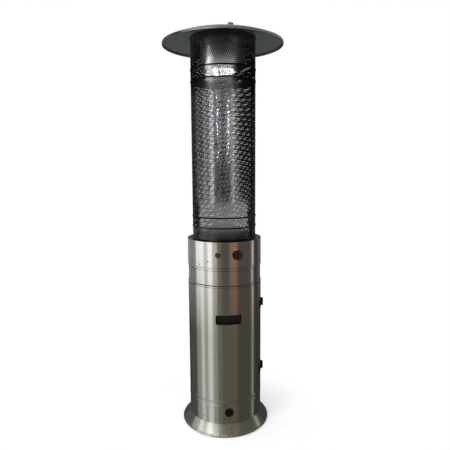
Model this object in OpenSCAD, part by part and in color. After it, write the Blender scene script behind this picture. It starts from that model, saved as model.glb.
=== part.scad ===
// Round gas patio heater with a glass flame tube.
// Origin at the centre of the base on the floor, +Z up, front towards -Y, millimetres.

/* [Housing] */
// Outer radius of the round housing
body_r = 194; // [188:0.5:205]
// Thickness of the housing's sheet
sheet_t = 1.2; // [0.8:0.1:1.5]
// Height of the flared base
base_h = 54; // [45:1:70]
// Height of the lower collar
collar_h = 115; // [100:1:140]
// Height of the door
door_h = 601; // [560:1:680]
// Gap above and below the door
door_gap = 4; // [3:0.5:6]
// Half of the angle that the door covers
door_half = 80; // [70:1:86]
// Gap between the door's edges and the jambs, in degrees
jamb_gap = 0.6; // [0.5:0.1:1.2]
// Width of the flange folded in at each of the door's edges
door_fold = 10; // [6:1:12]
// How far the band above the door is set in
band_inset = 2.6; // [2:0.1:4]
// Height of the band above the door
band_h = 88.5; // [70:0.5:110]
// Height of the control drum
drum_h = 138.5; // [125:0.5:170]

/* [Base] */
// Outer radius of the base's rolled edge
base_r = 234; // [225:1:250]
// Radius of the bead in the rolled edge
rim_bead = 5; // [4:0.5:7]
// Thickness of the base's spun sheet
flare_t = 2; // [1.5:0.1:3]
// Radius of a rubber foot
foot_r = 10; // [8:0.5:11]
// Height of a foot below the base
foot_h = 3; // [2:0.5:6]
// Number of feet
feet_n = 6; // [4:1:8]
// Thickness of the base plate
plate_t = 2; // [1.5:0.5:4]
// Height of the base plate's upright edge
plate_edge_h = 36; // [32:1:50]
// Inner radius of the ring round the bottle's foot
locator_r = 103; // [98:1:110]

/* [Vent and hand recess] */
// Radius of the vent grille's flange
vent_r = 23.5; // [18:0.5:30]
// Height of the vent's centre above the base
vent_rise = 61; // [50:1:64]
// Width of the hand recess's mouth
slot_w = 132; // [100:1:136]
// Height of the hand recess's mouth
slot_h = 50; // [38:1:54]
// Height of the recess's centre above the door's lower edge
slot_rise = 438; // [350:1:480]
// Depth of the hand recess
cup_depth = 28; // [22:1:36]
// Wall of the hand recess
cup_t = 2; // [1.5:0.1:3]

/* [Hinges] */
// Radius of a hinge's knuckles
knuckle_r = 6.5; // [5.5:0.1:7]
// Radius of the hinge pins
pin_r = 2.5; // [2:0.1:3]
// Running clearance round the hinge pins
pin_gap = 0.06; // [0.03:0.01:0.09]
// Height of a hinge
hinge_h = 39; // [33:1:48]
// Height of the lower hinge above the door's lower edge
hinge_low = 119; // [80:1:160]
// Height of the upper hinge above the door's lower edge
hinge_high = 478; // [420:1:530]

/* [Controls] */
// Distance from the top of the drum down to the knob and the button
knob_drop = 62; // [54:1:74]
// Angle of the control knob from the front, to the right
control_angle = 13.6; // [12.5:0.1:20]
// Angle of the igniter button from the front, to the left
igniter_angle = 15.2; // [13:0.1:20]
// Radius of the control knob
knob_r = 23; // [19:0.5:25]
// Length of the control knob
knob_l = 21; // [18:0.5:26]
// Radius of the valve's spindle
spindle_r = 4; // [3:0.1:5]
// Travel of the knob when pushed
knob_push = 3; // [2:0.5:3.5]
// Radius of the igniter button
button_r = 9; // [7:0.1:10]
// Travel of the igniter button
button_push = 5; // [3:0.5:6]
// Clearance of the sliding and turning pieces
slide_gap = 0.06; // [0.03:0.01:0.09]

/* [Flame tube] */
// Outer radius of the glass tube
glass_r = 50; // [45:0.5:54]
// Wall of the glass tube
glass_t = 2.5; // [2:0.1:3.5]
// Length of the glass tube
glass_l = 791; // [700:1:880]
// Outer radius of the burner cup
cup_r = 84; // [76:1:95]
// Height of the burner cup
cup_h = 45; // [38:1:60]
// Radius of the burner head
head_r = 36; // [28:1:40]
// Outer radius of the bright collar round the tube
tube_collar_r = 60; // [57:0.5:64]
// Height of that collar
tube_collar_h = 67; // [58:1:80]

/* [Emitter and reflector] */
// Outer radius of the emitter screen
emitter_r = 112.6; // [105:0.1:120]
// Height of the emitter screen
emitter_h = 132; // [110:1:150]
// Height of the emitter's lower edge above the shelf
leg_h = 70.5; // [65:0.5:80]
// Outer radius of the reflector
reflector_r = 305; // [280:1:340]
// Rise of the reflector's dome
dome_h = 62; // [50:1:75]
// Height of the reflector's turned-down lip
lip_h = 10; // [8:0.5:16]
// Length of the sleeves between the emitter and the reflector
sleeve_l = 36; // [30:0.5:45]
// Distance of the reflector's studs from the centre
stud_ring = 105; // [98:0.5:106]

/* [Guard] */
// Inner radius of the guard's mesh
mesh_r = 164.5; // [158:0.5:170]
// Thickness of the hoops round the mesh
hoop_t = 2; // [1.5:0.5:3]
// Height of a hoop
hoop_h = 7; // [5:0.5:9]
// Radius of the guard's upright rods
rod_r = 4; // [3:0.1:5]
// Thickness of the mesh
mesh_t = 1; // [0.8:0.1:1.5]
// Width of the mesh's strands, drawn coarse
strand = 8; // [5:0.5:10]
// Turn of the guard's rods from the front
guard_turn = -4; // [-20:1:20]

/* [Hidden] */
$fn = 128;

inner_r = body_r - sheet_t;
fit = 0.3;                       // gap between curved faces that only lie near each other

// Levels, from the floor up
base_top = foot_h + base_h;
collar_top = base_top + collar_h;
door_z = collar_top + door_gap;
door_top = door_z + door_h;
band_z = door_top + door_gap;
drum_z = band_z + band_h;
drum_top = drum_z + drum_h;
deck_t = 1.6;
deck_top = drum_top + deck_t;
pan_top = deck_top + deck_t;     // top face of the burner deck
control_z = drum_top - knob_drop;
slot_z = door_z + slot_rise;
vent_z = base_top + vent_rise;

// Places a child at an angle from the front, turned with it
module turn(a) rotate([0, 0, a]) children();

// Points a child's own +Z outwards at angle a and height z, starting at radius r
module outward(a, r, z) turn(a) translate([0, -r, z]) rotate([90, 0, 0]) children();

// A ring of rectangular section
module ring(r_in, r_out, z0, z1) rotate_extrude() translate([r_in, z0]) square([r_out - r_in, z1 - z0]);

// Part of such a ring, between two angles from the front
module arc_ring(a0, a1, r_in, r_out, z0, z1)
    rotate([0, 0, a0 - 90]) rotate_extrude(angle = a1 - a0)
        translate([r_in, z0]) square([r_out - r_in, z1 - z0]);

// Closed outline of a bent sheet whose outer side follows the points
function sheet(pts, t) = concat(pts, [for (i = [len(pts) - 1:-1:0]) [pts[i].x - t, pts[i].y]]);

// Points of a round bump, or of a groove when d is negative
function bump(r, z, d, h, n = 8) =
    [for (k = [0:n]) [r + d * (1 - cos(360 * k / n)) / 2, z - h + 2 * h * k / n]];

// Rectangle with its corners rounded in six steps each
module round_rect(w, h, r)
    polygon([for (q = [0:3], k = [0:6])
        let (a = 90 * q + 15 * k, x = q == 0 || q == 3 ? 1 : -1, y = q < 2 ? 1 : -1)
        [x * (w / 2 - r) + r * cos(a), y * (h / 2 - r) + r * sin(a)]]);

function unit(v) = v / norm(v);
function tangent(p, i) = unit(p[min(i + 1, len(p) - 1)] - p[max(i - 1, 0)]);

// Round tube of eight sides swept along a list of points; side is a direction off the path
module swept(path, r, side) {
    n = 8;
    rings = [for (i = [0:len(path) - 1])
        let (t = tangent(path, i), u = unit(cross(t, side)), v = cross(t, u))
        for (k = [0:n - 1]) path[i] + r * (cos(360 * k / n) * u + sin(360 * k / n) * v)];
    last = len(rings) - n;
    polyhedron(rings, concat(
        [[for (k = [0:n - 1]) k]],
        [for (i = [0:len(path) - 2], k = [0:n - 1])
            let (a = i * n + k, b = i * n + (k + 1) % n) [a, a + n, b + n, b]],
        [[for (k = [n - 1:-1:0]) last + k]]));
}

// ---- Base ----

flare_top_r = body_r + 4;
rim_c = base_r - rim_bead;       // centre line of the rolled edge
flange_in = body_r - 22;
flange_t = 2;
foot_ring = rim_c - foot_r - 2;
foot_neck = 3;
bolt_ring = body_r - 12;
bolt_r = 3;

flare_low = foot_h + 1.6 * rim_bead;
// Radius of the flare's outside at height z: a cone, hollowed a little
function flare_u(z) = (base_top - z) / (base_top - flare_low);
function flare_r(z) = flare_top_r + (rim_c - flare_top_r) * (0.75 * flare_u(z) + 0.25 * pow(flare_u(z), 2));

module base_flare() color("lightgray") difference() {
    union() {
        steps = 8;
        rotate_extrude() polygon(sheet([for (k = [0:steps])
            let (z = base_top - (base_top - flare_low) * k / steps) [flare_r(z), z]], flare_t));
        ring(flange_in, flare_top_r - 0.5, base_top - flange_t, base_top);
        rotate_extrude() translate([rim_c, foot_h + rim_bead]) circle(rim_bead, $fn = 32);
        ring(foot_ring - foot_r - 2, rim_c, foot_h, foot_h + flange_t);
    }
    for (k = [0:feet_n - 1]) turn((k + 0.5) * 360 / feet_n) translate([0, -foot_ring, 0])
        cylinder(r = foot_neck, h = foot_h + flange_t + 1);
    for (k = [0:3]) turn(45 + 90 * k) translate([0, -bolt_ring, base_top - flange_t - 1])
        cylinder(r = bolt_r, h = flange_t + 2);
    for (z = seam_z) flare_screw_at(z) cylinder(r = seam_screw_r, h = 12, center = true);
}

seam_turn = 2.5;
seam_screw_r = 1.6;
seam_z = [base_top - 20, base_top - 35];
// Slope of the flare at the seam screws, measured from level
module flare_screw_at(z) {
    slope = atan2(4, flare_r(z - 2) - flare_r(z + 2));
    turn(seam_turn) translate([0, -flare_r(z), z]) rotate([slope, 0, 0]) children();
}

module flare_screws() color("dimgray") for (z = seam_z) flare_screw_at(z) {
    translate([0, 0, 0.25]) cylinder(r1 = 3.4, r2 = 2.4, h = 1.4);
    translate([0, 0, -4.5]) cylinder(r = seam_screw_r, h = 5);
}

module rubber_feet() color("black")
    for (k = [0:feet_n - 1]) turn((k + 0.5) * 360 / feet_n) translate([0, -foot_ring, 0]) {
        cylinder(r = foot_r, h = foot_h);
        cylinder(r = foot_neck, h = foot_h + flange_t + 2);
        translate([0, 0, foot_h + flange_t]) cylinder(r = foot_neck + 1.5, h = 3);
    }

plate_r = inner_r - 0.4;
plate_top = base_top + plate_t;
screw_z = base_top + 26;
hole_ring = (flange_in + locator_r) / 2;
seat_h = 1.5;                    // the raised seat that the bottle stands on

module base_plate() color("silver") difference() {
    union() {
        translate([0, 0, base_top]) cylinder(r = plate_r, h = plate_t);
        translate([0, 0, base_top]) cylinder(r = locator_r - 1, h = plate_t + seat_h);
        ring(plate_r - plate_t, plate_r, base_top, base_top + plate_edge_h);
    }
    for (k = [0:3]) turn(45 + 90 * k) translate([0, -bolt_ring, base_top - 1])
        cylinder(r = bolt_r, h = plate_t + 2);
    for (k = [0:7]) turn(22.5 + 45 * k) translate([0, -hole_ring, base_top - 1])
        cylinder(r = 12, h = plate_t + 2);
    for (a = collar_screws) outward(a, plate_r - plate_t - 1, screw_z)
        cylinder(r = screw_r, h = plate_t + 2);
}

module base_bolts() color("silver")
    for (k = [0:3]) turn(45 + 90 * k) translate([0, -bolt_ring, 0]) {
        translate([0, 0, plate_top]) cylinder(r = 5, h = 4);
        translate([0, 0, base_top - 12]) cylinder(r = bolt_r, h = plate_t + 13);
        translate([0, 0, base_top - flange_t - 5]) cylinder(r = 5.8, h = 5, $fn = 6);
    }

module bottle_locator() color("silver") ring(locator_r, locator_r + 3, plate_top, plate_top + 10);

// ---- Lower collar ----

screw_r = 1.9;
collar_screws = [-42.5, -7, 47.5, 137.5, 227.5];
groove_z = collar_top - 15;

module lower_collar() color("lightgray") difference() {
    rotate_extrude() polygon(sheet(concat([[body_r, base_top]],
        bump(body_r, groove_z - 5, 0.9, 2.4), bump(body_r, groove_z, -1.8, 2.6),
        bump(body_r, collar_top - 3, 0.9, 2.4), [[body_r, collar_top]]), sheet_t));
    outward(0, body_r - 20, vent_z) cylinder(r = vent_r - 2, h = 40);
    for (a = collar_screws) outward(a, body_r - 10, screw_z) cylinder(r = screw_r, h = 20);
    for (a = stop_screws) outward(a, body_r - 10, stop_screw_z) cylinder(r = screw_r, h = 20);
}

module vent_grille() color("black") {
    difference() {
        outward(0, body_r - 6, vent_z) cylinder(r = vent_r, h = 8);
        cylinder(r = body_r, h = collar_top);
        outward(0, body_r - 20, vent_z) cylinder(r = vent_r - 4, h = 40);
    }
    difference() {
        outward(0, body_r - 5, vent_z) cylinder(r = vent_r - 2, h = 5);
        outward(0, body_r - 20, vent_z) cylinder(r = vent_r - 4, h = 40);
    }
    intersection() {
        outward(0, body_r - 4, vent_z) cylinder(r = vent_r - 3, h = 3);
        for (a = [45, -45], k = [-2:2]) outward(0, body_r - 4, vent_z)
            rotate([0, 0, a]) translate([k * vent_r / 3 - 1, -vent_r, 0]) cube([2, 2 * vent_r, 3]);
    }
}

stop_out = inner_r - 0.2;
stop_top = collar_top + 26;
stop_screw_z = collar_top - 8.9;
stop_screws = [-150, -100, 100, 150];

module stop_ring() color("silver") difference() {
    ring(stop_out - 1.6, stop_out, groove_z + 2.8, stop_top);
    for (a = stop_screws) outward(a, stop_out - 5, stop_screw_z) cylinder(r = screw_r, h = 8);
}

// ---- Housing shell ----

jamb = door_half + jamb_gap;
jamb_deg = 0.6;
jamb_in = body_r - 8;
band_r = body_r - band_inset;
lip_r = band_r - 0.6;            // the stop lip behind the door's upper edge
stop_lip = 14;
gap_r = band_r - 3;              // the shadow gap under the drum
gap_h = 5;
skirt_r = inner_r - 0.4;         // the band's neck inside the drum
drum_screws = [-91, -31, 29, 89, 149, 209];
drum_screw_z = drum_z + 42;
neck_h = 46;
door_r = body_r + 0.4;

module housing_shell() color("lightgray") difference() {
    union() {
        rotate_extrude() polygon([
            [lip_r, door_top - stop_lip], [lip_r, band_z], [door_r, band_z], [door_r, band_z + 5],
            [band_r, band_z + 9], [band_r, drum_z - gap_h - 1],
            [gap_r, drum_z - gap_h], [gap_r, drum_z + 3],
            [skirt_r, drum_z + 4], [skirt_r, drum_z + neck_h],
            [skirt_r - sheet_t, drum_z + neck_h], [skirt_r - sheet_t, drum_z + 4.6],
            [gap_r - sheet_t, drum_z + 3.6], [gap_r - sheet_t, drum_z - gap_h - 0.6],
            [band_r - sheet_t, drum_z - gap_h - 1.6], [band_r - sheet_t, band_z + 8.6],
            [door_r - sheet_t, band_z + 4.6], [door_r - sheet_t, band_z + sheet_t],
            [lip_r - sheet_t, band_z + sheet_t], [lip_r - sheet_t, door_top - stop_lip]]);
        arc_ring(jamb, 360 - jamb, inner_r, body_r, collar_top, band_z + sheet_t / 2);
        for (a = [jamb, 360 - jamb - jamb_deg])
            arc_ring(a, a + jamb_deg, jamb_in, body_r - sheet_t / 2, stop_top + 1, band_z - 1);
    }
    for (a = drum_screws) outward(a, body_r - 10, drum_screw_z) cylinder(r = screw_r, h = 20);
    for (a = back_screws, z = back_screw_z) outward(a, body_r - 10, z) cylinder(r = screw_r, h = 20);
    outward(tilt_az, body_r - 10, tilt_screw_z) cylinder(r = screw_r, h = 20);
}

// ---- Door ----

door_in = door_r - sheet_t;
fold_deg = 0.36;
slot_corner = 9;
lip_w = 3;
lip_proud = 1.4;

module door_panel() color("lightgray") difference() {
    union() {
        rotate([0, 0, -door_half - 90]) rotate_extrude(angle = 2 * door_half)
            polygon(sheet(concat([[door_r, door_z]], bump(door_r, door_z + 4, 0.9, 2.8),
                [[door_r, door_top]]), sheet_t));
        for (a = [-door_half, door_half - fold_deg])
            arc_ring(a, a + fold_deg, door_r - door_fold, door_r - sheet_t / 2,
                stop_top + 2, door_top - stop_lip - 6);
        intersection() {
            ring(door_r - sheet_t / 2, door_r + lip_proud, door_z, door_top);
            outward(0, body_r - 30, slot_z) linear_extrude(60)
                round_rect(slot_w + 2 * lip_w, slot_h + 2 * lip_w, slot_corner + lip_w);
        }
    }
    outward(0, body_r - 40, slot_z) linear_extrude(60) round_rect(slot_w, slot_h, slot_corner);
    for (a = door_hinge_screws, z = hinge_screw_z) outward(a, body_r - 10, z)
        cylinder(r = hinge_screw_r, h = 20);
}

cup_flange = 5;

module handle_cup() color("black") difference() {
    union() {
        intersection() {
            ring(door_in - 2, door_in, door_z, door_top);
            outward(0, body_r - 60, slot_z) linear_extrude(80)
                round_rect(slot_w + 2 * cup_flange, slot_h + 2 * cup_flange, slot_corner);
        }
        intersection() {
            cylinder(r = door_in, h = door_top);
            outward(0, door_in - cup_depth, slot_z) linear_extrude(cup_depth)
                round_rect(slot_w, slot_h, slot_corner);
        }
    }
    outward(0, door_in - cup_depth + cup_t, slot_z) linear_extrude(cup_depth + 10)
        round_rect(slot_w - 2 * cup_t, slot_h - 2 * cup_t, slot_corner - cup_t);
}

// ---- Hinges ----

hinge_az = door_half + 2;
hinge_r = door_r + knuckle_r + 0.1;
hinge_zs = [door_z + hinge_low, door_z + hinge_high];
third = hinge_h / 3;
hinge_screw_r = 1.6;
leaf_t = 2.4;
leaf_deg = 17;
bore_r = pin_r + pin_gap;
hinge_screw_z = [for (z = hinge_zs, s = [-1, 1]) z + s * (third + 1)];
door_hinge_screws = [door_half - 8, door_half - 14];

// Moves a child to the hinge's axis at height z
module at_hinge(z) turn(hinge_az) translate([0, -hinge_r, z]) children();

module door_hinge_leaves() color("black") for (z = hinge_zs) difference() {
    union() {
        arc_ring(hinge_az - leaf_deg - 2.5, hinge_az - 2.5, door_r, door_r + leaf_t,
            z - hinge_h / 2, z + hinge_h / 2);
        arc_ring(hinge_az - 5, hinge_az - 0.4, door_r + 0.1 + fit, door_r + leaf_t + 1,
            z - third / 2 + 2 * fit, z + third / 2 - 2 * fit);
        at_hinge(z - third / 2 + fit) cylinder(r = knuckle_r, h = third - 2 * fit);
        for (a = door_hinge_screws, s = [-1, 1]) {
            outward(a, door_r + leaf_t - 0.5, z + s * (third + 1)) cylinder(r1 = 3.2, r2 = 2.2, h = 1.7);
            outward(a, door_r - 5, z + s * (third + 1)) cylinder(r = hinge_screw_r, h = 6);
        }
    }
    at_hinge(z - hinge_h) cylinder(r = bore_r, h = 2 * hinge_h);
}

module frame_hinge_leaves() color("black") for (z = hinge_zs) difference() {
    union() {
        arc_ring(hinge_az + 2.6, hinge_az + leaf_deg, body_r, door_r + leaf_t,
            z - hinge_h / 2, z + hinge_h / 2);
        for (s = [-1, 1]) {
            arc_ring(hinge_az + 0.4, hinge_az + 5, body_r + 0.5, door_r + leaf_t + 1,
                z + s * third - third / 2, z + s * third + third / 2);
            at_hinge(z + s * third - third / 2) cylinder(r = knuckle_r, h = third);
        }
    }
    at_hinge(z - hinge_h) cylinder(r = pin_r, h = 2 * hinge_h);
}

module hinge_pins() color("dimgray") for (z = hinge_zs) {
    at_hinge(z - hinge_h / 2) cylinder(r = pin_r, h = hinge_h);
    at_hinge(z + hinge_h / 2) cylinder(r = knuckle_r - 1.5, h = 2);
}

// ---- Door catch ----

catch_z = door_z + door_h / 2;
catch_h = 30;
catch_in = body_r - 26;
strike_h = 40;

module strike_plate() color("silver")
    arc_ring(-door_half + fold_deg, -door_half + fold_deg + 0.5, catch_in - 2, door_in,
        catch_z - strike_h / 2, catch_z + strike_h / 2);

module magnet_catch() color("dimgray") {
    arc_ring(-jamb - jamb_deg - 6, -jamb - jamb_deg, catch_in, inner_r,
        catch_z - catch_h / 2, catch_z + catch_h / 2);
    arc_ring(-jamb - jamb_deg - 1, -jamb, catch_in, jamb_in, catch_z - catch_h / 2, catch_z + catch_h / 2);
}

// ---- Control drum and deck ----

knob_hole = spindle_r + 3;
button_hole = button_r + 1.4;
tilt_az = -46;
tilt_screw_z = drum_z + 23.5;

module control_drum() color("lightgray") difference() {
    rotate_extrude() polygon(sheet(concat([[body_r, drum_z]], bump(body_r, drum_z + 8, 0.7, 2.5),
        [[body_r, drum_top]]), sheet_t));
    outward(control_angle, body_r - 20, control_z) cylinder(r = knob_hole, h = 40);
    outward(-igniter_angle, body_r - 20, control_z) cylinder(r = button_hole, h = 40);
    for (a = drum_screws) outward(a, body_r - 10, drum_screw_z) cylinder(r = screw_r, h = 20);
    outward(tilt_az, body_r - 10, tilt_screw_z) cylinder(r = screw_r, h = 20);
}

// One round-headed screw through a round sheet, reaching l inwards
module sheet_screw(a, z, l) {
    outward(a, body_r, z) cylinder(r1 = 3.4, r2 = 2.4, h = 1.6);
    outward(a, body_r - l, z) cylinder(r = screw_r, h = l + 0.5);
}

back_screws = [-96];
back_screw_z = [door_z + 63, door_z + door_h - 95];

module housing_screws() color("dimgray") {
    for (a = drum_screws) sheet_screw(a, drum_screw_z, 6);
    for (a = collar_screws) sheet_screw(a, screw_z, 6);
    for (a = stop_screws) sheet_screw(a, stop_screw_z, 5);
    for (a = back_screws, z = back_screw_z) sheet_screw(a, z, 5);
    sheet_screw(tilt_az, tilt_screw_z, 5);
}

deck_in = cup_r + 36;

module deck_ring() color("lightgray") ring(deck_in, body_r, drum_top, deck_top);

pan_r = mesh_r - rod_r - 6;
venturi_r = 13;
pilot_y = head_r + 12;           // distance of the pilot group from the centre
rod_at = [[-14, 3], [0, 2.5], [14, 2.5]];  // place and radius: pilot tube, thermocouple, electrode

module burner_deck() color("dimgray") difference() {
    translate([0, 0, deck_top]) cylinder(r = pan_r, h = deck_t);
    translate([0, 0, drum_top]) cylinder(r = venturi_r, h = 10);
    for (p = rod_at) translate([p.x, -pilot_y, drum_top]) cylinder(r = p.y, h = 10);
    for (k = [0:23]) turn(15 * k) translate([0, -(cup_r + pan_r) / 2 - 4, drum_top])
        cylinder(r = 5, h = 10);
}

// ---- Knob and valve ----

bezel_h = 4;
bezel_r = knob_r + 3;
knob_r0 = body_r + bezel_h + knob_push + 1;      // back of the knob
valve_r = body_r - 14;                            // front face of the valve
valve_w = 36;
valve_l = 40;
bracket_t = 2;
retainer_r0 = valve_r + bracket_t + knob_push + 0.6;
spindle_r0 = valve_r - 24;
spindle_end = knob_r0 + knob_l - 6;

module knob_bezel() color("black") difference() {
    outward(control_angle, body_r - 6, control_z) cylinder(r = bezel_r, h = bezel_h + 6);
    cylinder(r = body_r, h = deck_top);
    outward(control_angle, body_r - 20, control_z) cylinder(r = knob_hole, h = 40);
}

module spindle_retainer() color("silver") outward(control_angle, retainer_r0, control_z) difference() {
    cylinder(r = spindle_r + 2, h = 2);
    translate([0, 0, -1]) cylinder(r = spindle_r + slide_gap, h = 4);
}

module valve_spindle() color("silver") outward(control_angle, spindle_r0, control_z)
    cylinder(r = spindle_r, h = spindle_end - spindle_r0);

module control_knob() color("black") difference() {
    outward(control_angle, knob_r0, control_z) {
        cylinder(r = knob_r, h = 6);
        cylinder(r = knob_r - 3.5, h = knob_l - 8);
        intersection() {
            cylinder(r = knob_r - 1, h = knob_l);
            translate([-5, -knob_r, 0]) cube([10, 2 * knob_r, knob_l]);
        }
    }
    outward(control_angle, spindle_r0, control_z) cylinder(r = spindle_r, h = spindle_end - spindle_r0);
}

bracket_w = 60;
bracket_low = control_z - 26;

module valve_bracket() color("silver") difference() {
    turn(control_angle) translate([-bracket_w / 2, -valve_r - bracket_t, 0]) {
        translate([0, 0, bracket_low]) cube([bracket_w, bracket_t, drum_top - bracket_low]);
        translate([0, 0, drum_top - bracket_t]) cube([bracket_w, 24, bracket_t]);
    }
    outward(control_angle, valve_r - 10, control_z) cylinder(r = spindle_r + 1, h = 30);
}

valve_h = 44;
port_r = 8;                      // the valve's inlet below and its outlet behind
port_l = 12;
inlet_drop = 40;                 // from the spindle down to the end of the inlet

module gas_valve() color("gray") difference() {
    union() {
        turn(control_angle) translate([-valve_w / 2, -valve_r, control_z - valve_h / 2])
            cube([valve_w, valve_l, valve_h]);
        outward(control_angle, valve_r - valve_l - port_l, feed_z) cylinder(r = port_r, h = port_l + 2);
        turn(control_angle) translate([0, -valve_r + valve_l / 2, control_z - inlet_drop])
            cylinder(r = port_r, h = inlet_drop / 2);
    }
    outward(control_angle, spindle_r0 - knob_push - 2, control_z)
        cylinder(r = spindle_r + slide_gap, h = 60);
}

// ---- Igniter ----

button_r0 = body_r + 11;         // front face of the igniter button
igniter_back = body_r - 60;
pocket_r0 = body_r - 42;         // bottom of the pocket that the button slides in
button_back = pocket_r0 + button_push + 1;
igniter_wall = 5;

module igniter_bezel() color("black") difference() {
    outward(-igniter_angle, body_r - 6, control_z) cylinder(r = button_r + igniter_wall, h = 11);
    cylinder(r = body_r, h = deck_top);
    outward(-igniter_angle, body_r - 20, control_z) cylinder(r = button_r + 0.5, h = 60);
}

module igniter_body() color("dimgray") difference() {
    outward(-igniter_angle, igniter_back, control_z) cylinder(r = button_r + igniter_wall, h = 60);
    difference() {
        cylinder(r = 2 * body_r, h = deck_top + 50);
        translate([0, 0, -1]) cylinder(r = inner_r, h = deck_top + 60);
    }
    outward(-igniter_angle, pocket_r0, control_z) cylinder(r = button_r + slide_gap, h = 60);
}

module igniter_button() color("firebrick") outward(-igniter_angle, button_back, control_z) {
    cylinder(r = button_r, h = button_r0 - button_back - 1);
    translate([0, 0, button_r0 - button_back - 1]) cylinder(r1 = button_r, r2 = button_r - 1, h = 1);
}

// ---- Gas hose, clips and regulator ----

hose_r = 5.5;
hose_ring = inner_r - 18;        // radius of the hose's run round the housing
hose_z = drum_z - 45;
clip_az = [64, 109, 145];
reg_y = hose_ring - 27;
reg_z = door_z + 514;
reg_r = 33;
reg_h = 28;
outlet_r = 8;
outlet_h = 16;
reg_in = reg_z + reg_h + outlet_h;  // top of the regulator's outlet, where the hose ends
reg_pipe_r = 7;
nut_back = 5;                    // from the regulator's body to the coupling nut
nut_l = 18;
nut_r = 16;
clip_w = 12;
clip_h = 24;
valve_c = [sin(control_angle), -cos(control_angle)] * (valve_r - valve_l / 2);
hose_top = control_z - inlet_drop;

function on_ring(a, r, z) = [r * sin(a), -r * cos(a), z];
hose_path = concat(
    [[valve_c.x, valve_c.y, hose_top], [valve_c.x, valve_c.y, hose_top - 16]],
    [[valve_c.x + 2, valve_c.y - 2, hose_top - 34], on_ring(20, hose_ring - 9, hose_z + 30),
     on_ring(27, hose_ring - 4, hose_z + 12), on_ring(36, hose_ring - 1, hose_z + 3)],
    [for (a = [46:9:154]) on_ring(a, hose_ring, hose_z)],
    [on_ring(163, hose_ring - 3, hose_z - 4), on_ring(171, hose_ring - 9, hose_z - 14),
     on_ring(177, hose_ring - 20, hose_z - 26)],
    [[0, reg_y, reg_in + 14], [0, reg_y, reg_in]]);

module gas_hose() color("black") swept(hose_path, hose_r, [0.31, 0.17, 0.93]);

module hose_clips() color("silver") for (a = clip_az) difference() {
    intersection() {
        turn(a) translate([-clip_w / 2, -body_r, hose_z - clip_h / 2]) cube([clip_w, 30, clip_h]);
        cylinder(r = band_r - sheet_t, h = drum_top);
    }
    turn(a) translate([-clip_w, -hose_ring, hose_z]) rotate([0, 90, 0])
        cylinder(r = hose_r + fit, h = 2 * clip_w);
}

// Moves a child to the regulator's middle, its +Z along the pipe towards the front
module at_regulator() translate([0, reg_y, reg_z + reg_h / 2]) rotate([90, 0, 0]) children();

module regulator() color("silver") {
    translate([0, reg_y, reg_z]) cylinder(r = reg_r, h = reg_h);
    translate([0, reg_y, reg_z + reg_h]) cylinder(r = outlet_r, h = outlet_h);
    at_regulator() cylinder(r = reg_pipe_r, h = reg_r + nut_back + nut_l + 5);
    at_regulator() translate([0, 0, reg_r + nut_back + nut_l + 1]) cylinder(r = reg_pipe_r + 3, h = 4);
}

module coupling_nut() color("peru") at_regulator() translate([0, 0, reg_r + nut_back]) difference() {
    cylinder(r = nut_r, h = nut_l, $fn = 12);
    translate([0, 0, -1]) cylinder(r = reg_pipe_r + slide_gap, h = nut_l + 2);
}

arm_w = 48;
arm_t = 2;
arm_drop = 34;                   // depth of the block that stands on the rear wall

module regulator_bracket() color("silver") intersection() {
    translate([-arm_w / 2, reg_y, reg_z]) {
        translate([0, -14, -arm_t]) cube([arm_w, body_r - reg_y + 14, arm_t]);
        translate([0, reg_r + arm_t, -arm_drop]) cube([arm_w, body_r - reg_y - reg_r, arm_drop]);
    }
    cylinder(r = inner_r, h = drum_top);
}

// ---- Feed, burner and pilot group ----

feed_z = control_z - 10;
jet_h = 18;
cup_top = pan_top + cup_h;

module feed_tube() color("peru") difference() {
    outward(control_angle, 0, feed_z) cylinder(r = 4, h = valve_r - valve_l - 12);
    translate([0, 0, feed_z - jet_h]) cylinder(r = 10, h = 2 * jet_h);
}

module jet_holder() color("peru") translate([0, 0, feed_z - jet_h / 2]) cylinder(r = 10, h = jet_h);

mixer_z = feed_z + jet_h / 2;    // bottom of the mixing tube
head_h = cup_h - 12;
air_r = 5;

module burner_head() color("gray") difference() {
    union() {
        translate([0, 0, mixer_z]) cylinder(r = venturi_r, h = pan_top - mixer_z);
        translate([0, 0, pan_top]) cylinder(r = head_r, h = head_h);
        translate([0, 0, pan_top + head_h]) cylinder(r1 = head_r, r2 = head_r - 8, h = 6);
    }
    translate([0, 0, mixer_z + 10]) cylinder(r = venturi_r - 2, h = pan_top + head_h - mixer_z - 12);
    for (k = [0:11]) turn(30 * k) translate([0, -head_r + 16, pan_top + 20]) cylinder(r = 3, h = cup_h);
    for (k = [0, 90]) turn(k) translate([-3 * venturi_r, 0, mixer_z + 18]) rotate([0, 90, 0])
        cylinder(r = air_r, h = 6 * venturi_r);
}

// Upright rod number i of the pilot group, from z0 up to z1
module pilot_rod(i, z0, z1) translate([rod_at[i].x, -pilot_y, z0]) cylinder(r = rod_at[i].y, h = z1 - z0);

module pilot_tube() color("silver") {
    pilot_rod(0, pan_top - 24, pan_top + 30);
    translate([0, 0, pan_top]) difference() {
        translate([rod_at[0].x, -pilot_y, 20]) cylinder(r = 5, h = 14);
        translate([rod_at[0].x, -pilot_y, 26]) cylinder(r = 2, h = 14);
    }
}

module thermocouple() color("peru") {
    pilot_rod(1, pan_top - 24, pan_top + 34);
    translate([rod_at[1].x, -pilot_y, pan_top]) cylinder(r = 4.5, h = 8);
}

module spark_electrode() color("white") {
    pilot_rod(2, pan_top - 24, pan_top + 24);
    translate([rod_at[2].x, -pilot_y, pan_top]) cylinder(r = 4.5, h = 16);
    translate([rod_at[2].x, -pilot_y, pan_top + 20]) cylinder(r = 1, h = 14);
}

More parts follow.
